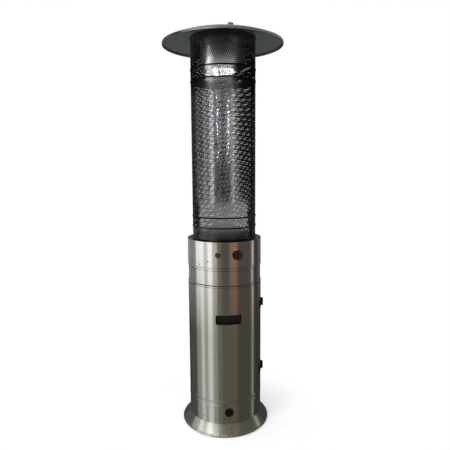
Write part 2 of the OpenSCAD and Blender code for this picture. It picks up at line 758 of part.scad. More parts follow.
lead_r = 1.6;
igniter_tail = on_ring(-igniter_angle, igniter_back, control_z);
lead_path = [igniter_tail, on_ring(-igniter_angle, igniter_back - 12, control_z),
    [-24, -108, control_z + 5], [-10, -90, control_z + 12], [4, -70, control_z + 16], [12, -56, control_z + 19],
    [rod_at[2].x, -pilot_y, pan_top - 31], [rod_at[2].x, -pilot_y, pan_top - 24]];

module igniter_lead() color("white") swept(lead_path, lead_r, [0.83, 0.2, 0.1]);

module tilt_switch() color("dimgray") difference() {
    intersection() {
        turn(tilt_az) translate([-15, -body_r, tilt_screw_z - 13]) cube([30, 24, 26]);
        cylinder(r = skirt_r - sheet_t, h = drum_top);
    }
    outward(tilt_az, body_r - 10, tilt_screw_z) cylinder(r = screw_r, h = 20);
}

module burner_cup() color("dimgray") difference() {
    union() {
        translate([0, 0, pan_top]) cylinder(r = cup_r, h = cup_h);
        translate([0, 0, pan_top]) cylinder(r = cup_r + 8, h = 1.5);
        ring(glass_r + 3, glass_r + 5, cup_top, cup_top + 14);
    }
    translate([0, 0, pan_top - 1]) cylinder(r = cup_r - 1.5, h = cup_h - 0.5);
    translate([0, 0, pan_top]) cylinder(r = glass_r - glass_t - 2, h = cup_h + 10);
    for (k = [0:17]) outward(20 * k, cup_r - 10, pan_top + 17) cylinder(r = 5, h = 20);
}

gasket_t = 3;
glass_z = cup_top + gasket_t;
glass_top = glass_z + glass_l;

module lower_gasket() color("white") ring(glass_r - glass_t - 2, glass_r + 2.6, cup_top, glass_z);

module glass_tube() color("lightblue", 0.35) ring(glass_r - glass_t, glass_r, glass_z, glass_top);

// ---- Top of the tube ----

shelf_top = glass_top - 44.5;
shelf_t = 2;
collar_z = shelf_top + 13.5;
collar_in = tube_collar_r - 1.2;
leg_turn = -96;
leg_w = 16;

module upper_gasket() color("white") ring(glass_r, collar_in, collar_z + 4, collar_z + 14);

module tube_collar() color("lightgray") ring(collar_in, tube_collar_r, collar_z, collar_z + tube_collar_h);

module shelf_plate() color("silver") difference() {
    ring(glass_r + 5, mesh_r - 0.3, shelf_top - shelf_t, shelf_top);
    rod_holes(rod_r + 0.4);
    for (k = [0:2]) turn(leg_turn + 60 + 120 * k)
        arc_ring(-42, 42, glass_r + 14, emitter_r - 10, 0, 2 * shelf_top);
}

// Where the emitter's wall stands on the legs
step_z = shelf_top + leg_h;
leg_t = 2;
leg_foot = 22;                   // length of a leg's foot on the shelf
leg_hook = 18;                   // height of a leg outside the emitter's wall
arm_z = step_z + 8;              // top of a leg's arm at the tube's collar
leg_in = emitter_r + 0.2;        // inner face of a leg's upright

module emitter_legs() color("silver") for (k = [0:2]) turn(leg_turn + 120 * k) difference() {
    rotate([90, 0, -90]) translate([0, 0, -leg_w / 2]) linear_extrude(leg_w) polygon([
        [-tube_collar_r + leg_t, arm_z], [-tube_collar_r - 14, arm_z], [-emitter_r + 6, step_z],
        [-leg_in, step_z], [-leg_in, step_z + leg_hook], [-leg_in - leg_t, step_z + leg_hook],
        [-leg_in - leg_t, shelf_top + leg_t], [-leg_in - leg_foot, shelf_top + leg_t],
        [-leg_in - leg_foot, shelf_top], [-leg_in, shelf_top], [-leg_in, step_z - leg_t],
        [-emitter_r + 6, step_z - leg_t], [-tube_collar_r - 14, arm_z - leg_t],
        [-tube_collar_r + leg_t, arm_z - leg_t]]);
    cylinder(r = tube_collar_r, h = 2 * step_z);
}

module emitter_screen() color("dimgray") ring(emitter_r - 1, emitter_r, step_z, step_z + emitter_h);

cap_z = step_z + emitter_h;
cap_t = 1.6;

module emitter_cap() color("dimgray") translate([0, 0, cap_z]) cylinder(r = emitter_r, h = cap_t);

// ---- Guard ----

guard_top = cap_z + cap_t + 8;
hoop_in = mesh_r + mesh_t + 0.1;
rod_ring = mesh_r - rod_r - 0.3;  // the rods stand just inside the mesh
foot_hoop_h = 12;
ledge_w = 9;                     // width of the ledge that carries the shelf
ledge_t = 2;
ledge_out = rod_ring - rod_r - 0.1;
hoop_levels = [deck_top + 61, deck_top + 112, shelf_top - shelf_t - ledge_t, shelf_top + 53,
    guard_top - hoop_h];

module rod_holes(r) for (k = [0:2]) turn(guard_turn + 60 + 120 * k) translate([0, -rod_ring, deck_top])
    cylinder(r = r, h = guard_top - deck_top);

module guard_rods() color("black") rod_holes(rod_r);

module guard_hoops() color("black") {
    ring(hoop_in, hoop_in + hoop_t, deck_top, deck_top + foot_hoop_h);
    for (z = hoop_levels) ring(hoop_in, hoop_in + hoop_t, z, z + hoop_h);
    ring(ledge_out - ledge_w, ledge_out, shelf_top - shelf_t - ledge_t, shelf_top - shelf_t);
}

mesh_cols = 16;                  // diamonds round the mesh

module guard_mesh() {
    low = deck_top + 1;
    high = guard_top - 1;
    half_w = 180 / mesh_cols;
    pitch_w = (mesh_r + mesh_t) * sin(half_w) * 2;
    rows = floor((high - low) / (2 * pitch_w));
    pitch_h = (high - low) / rows;
    color("black") {
        difference() {
            ring(mesh_r, mesh_r + mesh_t, low, high);
            for (k = [0:mesh_cols / 2 - 1], j = [0:rows])
                turn(k * 360 / mesh_cols) translate([0, 0, low + (j + (k % 2) / 2) * pitch_h])
                    rotate([90, 0, 0]) linear_extrude(3 * mesh_r, center = true)
                        polygon([[pitch_w - strand * 0.7, 0], [0, pitch_h / 2 - strand * 0.7],
                                 [-pitch_w + strand * 0.7, 0], [0, -pitch_h / 2 + strand * 0.7]]);
        }
        for (z = [low, high - strand]) ring(mesh_r, mesh_r + mesh_t, z, z + strand);
    }
}

// ---- Reflector ----

dome_t = 1.5;
dome_rho = (pow(reflector_r, 2) + pow(dome_h, 2)) / (2 * dome_h);
// Height of a ball of radius rho at distance r from its axis, over the dome's centre
function ball(rho, r) = sqrt(pow(rho, 2) - pow(r, 2));
dome_c = cap_z + cap_t + sleeve_l - ball(dome_rho - dome_t, stud_ring);
dome_edge = dome_c + dome_rho - dome_h;
stud_turn = 16;
stud_r = 3;

module reflector() color("lightgray") difference() {
    union() {
        steps = 28;
        edge = asin(reflector_r / dome_rho);
        rotate_extrude() polygon(concat(
            [for (k = [0:steps]) let (a = edge * k / steps)
                [dome_rho * sin(a), dome_c + dome_rho * cos(a)]],
            [[reflector_r, dome_edge - lip_h], [reflector_r - dome_t, dome_edge - lip_h]],
            [for (k = [steps:-1:0]) let (a = edge * k / steps)
                [(dome_rho - dome_t) * sin(a), dome_c + (dome_rho - dome_t) * cos(a)]]));
        rotate_extrude() translate([reflector_r - 2, dome_edge - lip_h + 2]) circle(2, $fn = 24);
    }
    for (k = [0:2]) turn(stud_turn + 120 * k) translate([0, -stud_ring, dome_c])
        cylinder(r = stud_r, h = 2 * dome_rho);
}

stud_top = cap_z + cap_t + sleeve_l + 24;

module reflector_studs() color("silver") for (k = [0:2]) turn(stud_turn + 120 * k) {
    translate([0, -stud_ring, cap_z + cap_t]) cylinder(r = stud_r, h = stud_top - cap_z - cap_t);
    intersection() {
        translate([0, -stud_ring, cap_z + cap_t]) cylinder(r = 6, h = sleeve_l + 10);
        translate([0, 0, dome_c]) sphere(dome_rho - dome_t - 0.05);
    }
}

washer_r = 8;
washer_z = dome_c + ball(dome_rho, stud_ring - washer_r);

module wing_nuts() color("silver") for (k = [0:2]) turn(stud_turn + 120 * k) difference() {
    union() {
        translate([0, -stud_ring, washer_z]) cylinder(r = washer_r, h = 2);
        translate([0, -stud_ring, washer_z + 2]) cylinder(r = 5.5, h = 9);
        for (s = [-1, 1]) translate([s * 9 - 5, -stud_ring - 1.2, washer_z + 5]) cube([10, 2.4, 13]);
    }
    translate([0, -stud_ring, dome_c]) cylinder(r = stud_r, h = 2 * dome_rho);
}

base_flare();
flare_screws();
rubber_feet();
base_plate();
base_bolts();
bottle_locator();
lower_collar();
vent_grille();
stop_ring();
housing_shell();
door_panel();
handle_cup();
door_hinge_leaves();
frame_hinge_leaves();
hinge_pins();
strike_plate();
magnet_catch();
control_drum();
housing_screws();
deck_ring();
burner_deck();
knob_bezel();
spindle_retainer();
valve_spindle();
control_knob();
igniter_bezel();
igniter_body();
igniter_button();
valve_bracket();
gas_valve();
gas_hose();
hose_clips();
regulator();
regulator_bracket();
coupling_nut();
feed_tube();
jet_holder();
burner_head();
pilot_tube();
thermocouple();
spark_electrode();
igniter_lead();
tilt_switch();
burner_cup();
lower_gasket();
glass_tube();
upper_gasket();
tube_collar();
shelf_plate();
emitter_legs();
emitter_screen();
emitter_cap();
guard_rods();
guard_hoops();
guard_mesh();
reflector();
reflector_studs();
wing_nuts();
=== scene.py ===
import math

import bmesh
import bpy
from mathutils import Matrix, Vector


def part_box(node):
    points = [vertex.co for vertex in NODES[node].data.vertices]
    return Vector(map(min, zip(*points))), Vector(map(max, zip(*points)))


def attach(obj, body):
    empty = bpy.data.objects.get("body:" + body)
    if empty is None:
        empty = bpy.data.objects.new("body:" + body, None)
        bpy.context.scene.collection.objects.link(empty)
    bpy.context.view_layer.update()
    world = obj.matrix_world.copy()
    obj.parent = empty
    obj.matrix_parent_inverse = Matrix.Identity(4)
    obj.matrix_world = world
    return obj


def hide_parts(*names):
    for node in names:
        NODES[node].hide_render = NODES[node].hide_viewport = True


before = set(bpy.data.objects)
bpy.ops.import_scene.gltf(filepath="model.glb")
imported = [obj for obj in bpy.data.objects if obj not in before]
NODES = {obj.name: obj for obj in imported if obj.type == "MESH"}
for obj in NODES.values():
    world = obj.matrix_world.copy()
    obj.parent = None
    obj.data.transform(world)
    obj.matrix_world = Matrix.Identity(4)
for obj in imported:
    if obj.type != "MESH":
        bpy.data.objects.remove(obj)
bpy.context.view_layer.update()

# ---- Sheet steel of the housing ----
# The collar, shell, door and drum are rolled from thin stainless sheet, ground to a satin finish
# round the housing. The base and the reflector are spun discs of the same steel.


def linear(text):
    """The linear RGBA of an sRGB hex colour."""
    parts = [int(text[i:i + 2], 16) / 255 for i in (0, 2, 4)]
    return [c / 12.92 if c <= 0.04045 else ((c + 0.055) / 1.055) ** 2.4 for c in parts] + [1.0]


def fix(tree, node, **links):
    """Sets or links a node's sockets, named with _ for a space; i0 and i1 go by number."""
    for name, value in links.items():
        key = int(name[1:]) if name[0] == "i" and name[1:].isdigit() else name.replace("_", " ")
        if isinstance(value, bpy.types.NodeSocket):
            tree.links.new(value, node.inputs[key])
        else:
            node.inputs[key].default_value = value


def add(tree, kind, settings=None, **links):
    """Adds a node with its settings, and its sockets set or linked."""
    node = tree.nodes.new(kind)
    for name, value in (settings or {}).items():
        setattr(node, name, value)
    fix(tree, node, **links)
    return node


def start(name):
    """A material with only a Principled shader: the material, tree, shader and object place."""
    mat = bpy.data.materials.new(name)
    mat.use_nodes = True
    tree = mat.node_tree
    tree.nodes.clear()
    shader = add(tree, "ShaderNodeBsdfPrincipled")
    add(tree, "ShaderNodeOutputMaterial", Surface=shader.outputs[0])
    return mat, tree, shader, add(tree, "ShaderNodeTexCoord").outputs["Object"]


def tone(tree, factor, low, high):
    """A colour between two hex colours, by a factor socket from 0 to 1."""
    ramp = add(tree, "ShaderNodeValToRGB", Fac=factor)
    for element, colour in zip(ramp.color_ramp.elements, (low, high)):
        element.color = linear(colour)
    return ramp.outputs[0]


def between(tree, factor, low, high):
    """A number between low and high, by a factor socket from 0 to 1."""
    return add(tree, "ShaderNodeMapRange", Value=factor, To_Min=low, To_Max=high).outputs[0]


def wear(names, mat):
    """Gives CAD nodes their material."""
    for name in names:
        NODES[name].data.materials.clear()
        NODES[name].data.materials.append(mat)


# A pattern's scale is how many of its cells go into a metre: 1000 over their size in mm
SCRATCHES = 9.0                  # along a ring: each is 110 mm long
PATCHES = 7.0                    # clouds 140 mm wide, as hands and rain leave them


def ground_steel(name, low, high, rough, lines_per_m):
    """Stainless steel with ring scratches round Z; lines_per_m sets how close they lie."""
    mat, tree, shader, place = start(name)
    level = add(tree, "ShaderNodeMapping", Vector=place, Scale=(SCRATCHES, SCRATCHES, lines_per_m))
    lines = add(tree, "ShaderNodeTexNoise", Vector=level.outputs[0], Scale=1.0, Detail=3.0)
    cloud = add(tree, "ShaderNodeTexNoise", Vector=place, Scale=PATCHES, Detail=2.0)
    both = add(tree, "ShaderNodeMath", {"operation": "MULTIPLY"}, i0=lines.outputs[0],
               i1=cloud.outputs[0])
    bump = add(tree, "ShaderNodeBump", Strength=0.12, Distance=0.0001, Height=lines.outputs[0])
    round_z = add(tree, "ShaderNodeVectorMath", {"operation": "CROSS_PRODUCT"}, i0=(0.0, 0.0, 1.0),
                  i1=place)
    fix(tree, shader, Base_Color=tone(tree, lines.outputs[0], low, high), Metallic=1.0,
        Roughness=between(tree, both.outputs[0], rough - 0.05, rough + 0.12), Anisotropic=0.5,
        Tangent=round_z.outputs[0], Normal=bump.outputs[0])
    return mat


# satin ground sheet: fine level lines draw what it mirrors out into upright bands. Real grit
# leaves some 10 lines to the millimetre, too fine to show, so these stand 1.4 mm apart
SHEET = ground_steel("stainless sheet, ground satin", "B9B8B3", "CFCEC9", 0.15, 700.0)
wear(("lower_collar", "housing_shell", "door_panel", "control_drum"), SHEET)
# spun discs keep the rings of the spinning tool, 3 mm apart, and shine in a wide soft sweep
SPUN = ground_steel("stainless disc, spun", "BDBCB7", "D2D1CC", 0.24, 350.0)
wear(("deck_ring", "reflector"), SPUN)
# the flare of the base was polished after spinning, and mirrors paler and clearer
POLISHED = ground_steel("stainless disc, polished", "E2E2DE", "F0F0EC", 0.18, 350.0)
wear(("base_flare",), POLISHED)
# the collar on the tube is left as it was rolled, the brightest metal of all
BRIGHT = ground_steel("stainless strip, bright rolled", "D8D8D6", "E6E6E4", 0.28, 300.0)
wear(("tube_collar",), BRIGHT)

# ---- Underside of the reflector ----
# The dish throws the heat down. Its underside is painted shade, darker and duller than the top, for
# the shade under the dish;
# only the rolled lip stays bright. The faces that look down take it, almost matt, with 70 mm
# clouds.
LIP = 0.006                      # width of the rolled lip
PAINTED_SHADE_UNDER, tree, shader, place = start("stainless disc, underside with painted shade")
underside_clouds = add(tree, "ShaderNodeTexNoise", Vector=place, Scale=14.0, Detail=3.0)
fix(tree, shader, Base_Color=tone(tree, underside_clouds.outputs[0], "878E8E", "969C9C"), Metallic=0.6,
    Roughness=between(tree, underside_clouds.outputs[0], 0.42, 0.55))
dish = NODES["reflector"]
dish.data.materials.append(PAINTED_SHADE_UNDER)
dish_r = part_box("reflector")[1].x
# painted shade: every face that looks down, inside the rolled lip, takes the darker underside
for face in dish.data.polygons:
    if face.normal.z < -0.2 and Vector(face.center[:2]).length < dish_r - LIP:
        face.material_index = 1

# ---- Zinc plated steel inside ----
# Brackets, clips, bolts and plates are pressed from mild steel and zinc plated: pale blue-grey,
# with the plating's soft crystals, 6 mm across.
ZINC, tree, shader, place = start("mild steel, zinc plated")
spangle = add(tree, "ShaderNodeTexVoronoi", Vector=place, Scale=160.0)
fix(tree, shader, Base_Color=tone(tree, spangle.outputs["Distance"], "8E9294", "B4B8BA"),
    Metallic=0.9, Roughness=between(tree, spangle.outputs["Distance"], 0.32, 0.5))
wear(("base_plate", "base_bolts", "bottle_locator", "stop_ring", "strike_plate", "spindle_retainer",
      "valve_spindle", "valve_bracket", "hose_clips", "regulator_bracket", "reflector_studs",
      "wing_nuts", "pilot_tube", "burner_head"), ZINC)
# the shelf, the emitter's legs and the burner stand in the heat: dark scale without a shine, in
# flakes of 25 mm
SCALED, tree, shader, place = start("mild steel, heat scaled")
flakes = add(tree, "ShaderNodeTexNoise", Vector=place, Scale=40.0, Detail=6.0)
fix(tree, shader, Base_Color=tone(tree, flakes.outputs[0], "2E2F30", "55585A"), Metallic=0.7,
    Roughness=between(tree, flakes.outputs[0], 0.4, 0.65))
wear(("shelf_plate", "emitter_legs"), SCALED)
wear(("burner_deck", "burner_cup"), SCALED)

# ---- Black hardware ----
# Screws, hinge leaves and pins are turned and pressed steel with a thin black coat. Small glints
# show where it is rubbed, in spots of 3 mm.
COATED, tree, shader, place = start("steel, black oxide coated")
rub = add(tree, "ShaderNodeTexNoise", Vector=place, Scale=300.0, Detail=3.0)
fix(tree, shader, Base_Color=tone(tree, rub.outputs[0], "0C0C0D", "1E1E20"), Metallic=0.3,
    Roughness=between(tree, rub.outputs[0], 0.3, 0.5))
wear(("door_hinge_leaves", "frame_hinge_leaves", "hinge_pins", "housing_screws", "flare_screws"),
     COATED)

# ---- Plastic and rubber parts ----
# Vent grille, hand recess, bezels, knob, igniter and switch are moulded black; the feet and the
# hose are rubber. The mould's grain keeps them from shining; it is drawn 2 to 4 mm wide, some ten
# times as coarse as it is, so that it shows.


def moulded(name, low, high, rough, grain, metal=0.0):
    """A part out of a mould, whose skin has that many cells of grain to the metre."""
    mat, tree, shader, place = start(name)
    cells = add(tree, "ShaderNodeTexNoise", Vector=place, Scale=grain, Detail=2.0)
    bump = add(tree, "ShaderNodeBump", Strength=0.2, Distance=0.0001, Height=cells.outputs[0])
    fix(tree, shader, Base_Color=tone(tree, cells.outputs[0], low, high), Metallic=metal,
        Roughness=between(tree, cells.outputs[0], rough - 0.06, rough + 0.06),
        Normal=bump.outputs[0])
    return mat


# nylon: charcoal, with the dull grain of a spark eroded mould
NYLON = moulded("glass filled nylon, moulded black", "101011", "1B1B1D", 0.45, 500.0)
wear(("vent_grille", "handle_cup", "igniter_body", "tilt_switch", "magnet_catch"), NYLON)
# phenolic: deeper black, with small clear glints on its edges
GLOSSY = moulded("phenolic, moulded gloss black", "0B0B0C", "151517", 0.28, 420.0)
wear(("knob_bezel", "control_knob", "igniter_bezel"), GLOSSY)
# the button's red, dark between the glints
RED = moulded("ABS, moulded red", "420F0C", "571712", 0.3, 420.0)
wear(("igniter_button",), RED)
# rubber: flat black-brown that never glints
RUBBER = moulded("nitrile rubber, extruded", "131313", "202020", 0.7, 350.0)
wear(("rubber_feet", "gas_hose"), RUBBER)

# ---- Cast, brass and ceramic parts of the gas line ----
# Valve and regulator are die cast, the nut, feed tube and thermocouple are turned brass, and the
# gaskets, lead and electrode are white ceramic.

# die cast: flat light grey, its skin a little uneven
CAST = moulded("zinc alloy, die cast", "8C8E90", "A5A7A9", 0.45, 260.0, metal=1.0)
wear(("gas_valve", "regulator"), CAST)
# turned brass: warm yellow, the only strong colour inside, with tool marks 4.5 mm apart
BRASS, tree, shader, place = start("brass, turned")
turned = add(tree, "ShaderNodeTexNoise", Vector=place, Scale=220.0, Detail=2.0)
fix(tree, shader, Base_Color=tone(tree, turned.outputs[0], "A8834A", "C9A466"), Metallic=1.0,
    Roughness=between(tree, turned.outputs[0], 0.25, 0.4))
wear(("coupling_nut", "feed_tube", "jet_holder", "thermocouple"), BRASS)
# ceramic: chalky white, dry to the eye
CERAMIC = moulded("ceramic fibre, pressed white", "CFCBC2", "E4E1DA", 0.7, 300.0)
wear(("spark_electrode", "igniter_lead", "lower_gasket", "upper_gasket"), CERAMIC)

# ---- Glass tube ----
# Drawn quartz tube, clear, with the faint haze that the flame leaves inside it. The coat's
# roughness spreads each light that it mirrors into a soft upright streak.
QUARTZ, tree, shader, place = start("quartz glass, drawn tube")
haze = add(tree, "ShaderNodeTexNoise", Vector=place, Scale=9.0, Detail=3.0)
fix(tree, shader, Base_Color=tone(tree, haze.outputs[0], "E3E8EA", "F4F7F8"),
    Transmission_Weight=1.0, IOR=1.46, Roughness=between(tree, haze.outputs[0], 0.0, 0.04),
    Coat_Weight=1.0, Coat_Roughness=0.14, Coat_IOR=1.6)
wear(("glass_tube",), QUARTZ)

# ---- Guard and emitter ----
# Rods, hoops and the diamond mesh are welded steel under black stove enamel, so deep a black that
# only bright streaks show on it. The mesh is drawn as two families of slanting strands.
ENAMEL, tree, shader, place = start("stove enamel, black on steel")
orange_peel = add(tree, "ShaderNodeTexNoise", Vector=place, Scale=240.0, Detail=2.0)
bump = add(tree, "ShaderNodeBump", Strength=0.15, Distance=0.0001, Height=orange_peel.outputs[0])
fix(tree, shader, Base_Color=tone(tree, orange_peel.outputs[0], "050606", "0E1010"),
    Roughness=between(tree, orange_peel.outputs[0], 0.14, 0.22), Normal=bump.outputs[0])
wear(("guard_rods", "guard_hoops", "guard_mesh"), ENAMEL)
# the emitter's screen and cap have burnt to a dull grey-brown that still glints, in patches of
# 33 mm
BURNT, tree, shader, place = start("stainless screen, burnt dark")
soot = add(tree, "ShaderNodeTexNoise", Vector=place, Scale=30.0, Detail=4.0)
fix(tree, shader, Base_Color=tone(tree, soot.outputs[0], "5E5955", "75706B"), Metallic=0.9,
    Roughness=between(tree, soot.outputs[0], 0.26, 0.36))
wear(("emitter_screen", "emitter_cap"), BURNT)

STEP_DEG = 7                     # one face for each 7 degrees of a strand's bend


def strands(bm, radius, low, high, count, slope, width, thick):
    """Adds one family of slanting strands: a flat wire bent round the guard once, then repeated."""
    tall = width / math.cos(slope)
    climb = high - low - tall
    turned = climb / (radius * math.tan(slope))
    steps = max(8, round(math.degrees(abs(turned)) / STEP_DEG))
    one = bmesh.new()
    verts = [one.verts.new((radius + x * thick / 2, 0.0, low + z * tall))
             for x, z in ((-1, 0), (1, 0), (1, 1), (-1, 1))]
    face = one.faces.new(verts)
    bmesh.ops.spin(one, geom=[face, *face.edges, *verts], cent=(0, 0, 0), axis=(0, 0, 1),
                   dvec=(0, 0, climb / steps), angle=turned, steps=steps)
    bmesh.ops.recalc_face_normals(one, faces=one.faces)
    wire = bpy.data.meshes.new("strand")
    one.to_mesh(wire)
    one.free()
    for i in range(count):
        bm.from_mesh(wire)
        wire.transform(Matrix.Rotation(2 * math.pi / count, 4, "Z"))
    bpy.data.meshes.remove(wire)


RISING, FALLING = 70, -50        # slopes of the two families, in degrees
WELD = 0.0002                    # the rising strands stand this far out, the falling ones in


def diamond_mesh(name, radius, low, high, pitch, width, thick):
    """A round of diamonds that lean a little, so that its front and back never line up."""
    bm = bmesh.new()
    for slope, step in ((math.radians(RISING), WELD), (math.radians(FALLING), -WELD)):
        count = round(2 * math.pi * radius * math.sin(abs(slope)) / pitch)
        strands(bm, radius + step, low, high, count, slope, width, thick)
    mesh = bpy.data.meshes.new(name)
    bm.to_mesh(mesh)
    bm.free()
    piece = bpy.data.objects.new(name, mesh)
    bpy.context.scene.collection.objects.link(piece)
    mesh.materials.append(ENAMEL)
    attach(piece, "heater")
    return piece


mesh_low, mesh_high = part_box("guard_mesh")
MESH_PITCH = 0.0086              # from strand to strand, a little coarser than the real mesh
STRAND, STRAND_THICK = 0.0042, 0.0008
INSET = 0.0007                   # keeps the outermost strands inside the guard's own size
guard = diamond_mesh("guard_mesh_fine", mesh_high.x - INSET, mesh_low.z, mesh_high.z, MESH_PITCH,
                     STRAND, STRAND_THICK)
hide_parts("guard_mesh")

# ---- Studio ----
# A pale floor that fades into the white surround, soft light from all round and a large lamp at
# the left. Tall cards that only mirrors can see give the steel something to reflect.
FLOOR_R = 3.0
FADE_FROM, FADE_TO = 0.25, 0.6   # from the first radius to the second the floor fades out
FLOOR_GLOW = 0.3                 # brings its white up to that of the surround
scene = bpy.context.scene
scene.view_settings.view_transform = "Standard"
world = bpy.data.worlds.new("studio")
scene.world = world
world.use_nodes = True
tree = world.node_tree
tree.nodes.clear()
path = add(tree, "ShaderNodeLightPath")
seen = add(tree, "ShaderNodeMath", {"operation": "MAXIMUM"}, i0=path.outputs["Is Camera Ray"],
           i1=path.outputs["Is Transmission Ray"])
seen = add(tree, "ShaderNodeMath", {"operation": "MAXIMUM"}, i0=seen.outputs[0],
           i1=path.outputs["Is Glossy Ray"])
soft = add(tree, "ShaderNodeBackground", Color=linear("F4F6F8"), Strength=0.75)
white = add(tree, "ShaderNodeBackground", Color=(1, 1, 1, 1), Strength=1.0)
mixed = add(tree, "ShaderNodeMixShader", i0=seen.outputs[0], i1=soft.outputs[0],
            i2=white.outputs[0])
add(tree, "ShaderNodeOutputWorld", Surface=mixed.outputs[0])

bm = bmesh.new()
bmesh.ops.create_circle(bm, cap_ends=True, radius=FLOOR_R, segments=96)
mesh = bpy.data.meshes.new("studio_floor")
bm.to_mesh(mesh)
bm.free()
floor = bpy.data.objects.new("studio_floor", mesh)
scene.collection.objects.link(floor)
floor.visible_glossy = False     # the cards reach below it, and the steel shows those instead
# white matt paint: it shows the shade under the heater and nothing else
PAINT, tree, shader, place = start("floor, white matt paint")
grain = add(tree, "ShaderNodeTexNoise", Vector=place, Scale=60.0)
far = add(tree, "ShaderNodeVectorMath", {"operation": "LENGTH"}, i0=place)
fade = add(tree, "ShaderNodeMapRange", {"interpolation_type": "SMOOTHSTEP"},
           Value=far.outputs["Value"], From_Min=FADE_FROM, From_Max=FADE_TO, To_Min=1.0, To_Max=0.0)
seen = add(tree, "ShaderNodeLightPath").outputs["Is Camera Ray"]
glow = add(tree, "ShaderNodeMath", {"operation": "MULTIPLY"}, i0=seen, i1=FLOOR_GLOW)
fix(tree, shader, Base_Color=tone(tree, grain.outputs[0], "F6F6F6", "FCFCFC"), Roughness=0.9,
    Alpha=fade.outputs[0], Emission_Color=(1, 1, 1, 1), Emission_Strength=glow.outputs[0])
mesh.materials.append(PAINT)

# Cards stand in a ring round the heater. Each is given by where it starts and ends, in degrees
# from the camera's side and turning to the right, its lowest and highest edge in metres, its
# colour at the top and at the foot, its strength, and its reach, if it lights only a few pieces.
CAMERA_AZIMUTH = -5.8
CARD_R = 0.62
CARD_STEP = 4                    # degrees to a face
TINT_LOW, TINT_HIGH = 0.35, 0.85  # heights between which a card's colour runs from foot to top
WHITE, DIM, DARK = "FFFFFF", "8C8E8C", "5A605E"
# heights of the cards' edges: the housing mirrors what stands below DECK, the foot of the guard
# what stands below LIT, the guard and the tube what stands below SHELF, the collar what stands
# below COLLAR_TOP, and the emitter and the dish mirror the rest
FOOT, DECK, LIT, EYE, SHELF, COLLAR = -0.6, 1.0, 1.16, 1.39, 1.82, 1.88
COLLAR_EDGE, COLLAR_TOP, EMITTER, DISH, TOP = 1.99, 2.05, 2.1, 2.6, 3.2
CARDS = [
    # the housing
    (-180, -167, FOOT, DECK, "2A2A2A", "202020", 1.0),
    (-167, -123, FOOT, DECK, "A6A6A4", "434341", 1.0),
    (-123, -86, FOOT, DECK, "A0A09E", "585854", 1.0),
    (-86, -68, FOOT, DECK, "FFFFFD", "8F8F8A", 1.4),
    (-68, -57, FOOT, DECK, "FFFFFD", "BFC0BB", 1.6),
    (-57, -46, FOOT, DECK, "DCDCD8", "A4A59E", 1.2),
    (-46, -32, FOOT, DECK, "FFFEF7", "C1C2BA", 1.7),
    (-32, -19, FOOT, DECK, "D7D7CA", "A7A89E", 1.0),
    (-19, -7, FOOT, DECK, "7A7A71", "7A7C71", 1.0),
    (-7, 13, FOOT, DECK, "605D57", "6B675C", 1.0),
    (13, 34, FOOT, DECK, "A58068", "6E675A", 1.0),
    (34, 80, FOOT, DECK, "5D5853", "55544A", 1.0),
    (80, 89, FOOT, DECK, "DDDCD8", "A2A19A", 1.0),
    (89, 112, FOOT, DECK, "43433E", "43423D", 1.0),
    (112, 167, FOOT, DECK, "6F6F6E", "3E3E3C", 1.0),
    (167, 180, FOOT, DECK, "2A2A2A", "202020", 1.0),
    # the foot of the guard
    (-180, -85, DECK, LIT, DARK, DARK, 1.0),
    (-85, 80, DECK, LIT, WHITE, WHITE, 5.0, "deck"),
    (80, 180, DECK, LIT, DARK, DARK, 1.0),
    # the guard and the tube inside it
    (-180, -103, LIT, SHELF, DARK, DARK, 1.0),
    (-103, -74, LIT, SHELF, WHITE, WHITE, 1.3, "guard"),
    (-74, -66, LIT, EYE, WHITE, WHITE, 2.0, "guard"),
    (-74, -66, EYE, SHELF, WHITE, WHITE, 1500.0, "inside"),
    (-66, -57, LIT, SHELF, WHITE, WHITE, 5.4, "guard"),
    (-57, -42, LIT, SHELF, WHITE, WHITE, 2.2, "guard"),
    (-42, -30, LIT, SHELF, WHITE, WHITE, 12.5, "guard"),
    (-30, -22, LIT, SHELF, DARK, DARK, 0.5),
    (-22, -8, LIT, SHELF, WHITE, WHITE, 0.6, "guard"),
    (-8, 24, LIT, SHELF, DARK, DARK, 0.5),
    (24, 33, LIT, SHELF, WHITE, WHITE, 10.5, "guard"),
    (33, 38, LIT, SHELF, DARK, DARK, 0.5),
    (38, 47, LIT, SHELF, WHITE, WHITE, 3.2, "guard"),
    (47, 51, LIT, SHELF, DARK, DARK, 0.5),
    (51, 60, LIT, EYE, DARK, DARK, 0.5),
    (51, 60, EYE, SHELF, WHITE, WHITE, 1500.0, "inside"),
    (60, 180, LIT, SHELF, DARK, DARK, 0.5),
    # the collar on the tube
    (-180, 130, SHELF, COLLAR, WHITE, WHITE, 30.0, "collar"),
    (130, 180, SHELF, COLLAR, DARK, DARK, 1.0),
    (-180, -80, COLLAR, COLLAR_TOP, WHITE, WHITE, 22.0, "collar"),
    (-80, -62, COLLAR, EMITTER, WHITE, WHITE, 120.0, "inside"),
    (-62, -52, COLLAR, COLLAR_TOP, WHITE, WHITE, 22.0, "collar"),
    (-52, -31, COLLAR, COLLAR_EDGE, WHITE, WHITE, 26.0, "front"),
    (-31, 32, COLLAR, COLLAR_EDGE, WHITE, WHITE, 8.0, "front"),
    (-52, 32, COLLAR_EDGE, COLLAR_TOP, WHITE, WHITE, 22.0, "collar"),
    (32, 130, COLLAR, COLLAR_TOP, WHITE, WHITE, 22.0, "collar"),
    (130, 180, COLLAR, COLLAR_TOP, DARK, DARK, 1.0),
    # the emitter and the dish
    (-180, -80, COLLAR_TOP, EMITTER, DIM, DIM, 1.0),
    (-62, 180, COLLAR_TOP, EMITTER, DIM, DIM, 1.0),
    (-180, -115, EMITTER, TOP, DIM, DIM, 1.0),
    (-115, 60, EMITTER, DISH, WHITE, WHITE, 9.0, "housing"),
    (60, 180, EMITTER, DISH, DIM, DIM, 1.0),
    (-115, -10, DISH, TOP, WHITE, WHITE, 2.0),
    (-10, 180, DISH, TOP, "D0D2CE", "D0D2CE", 1.0),
]

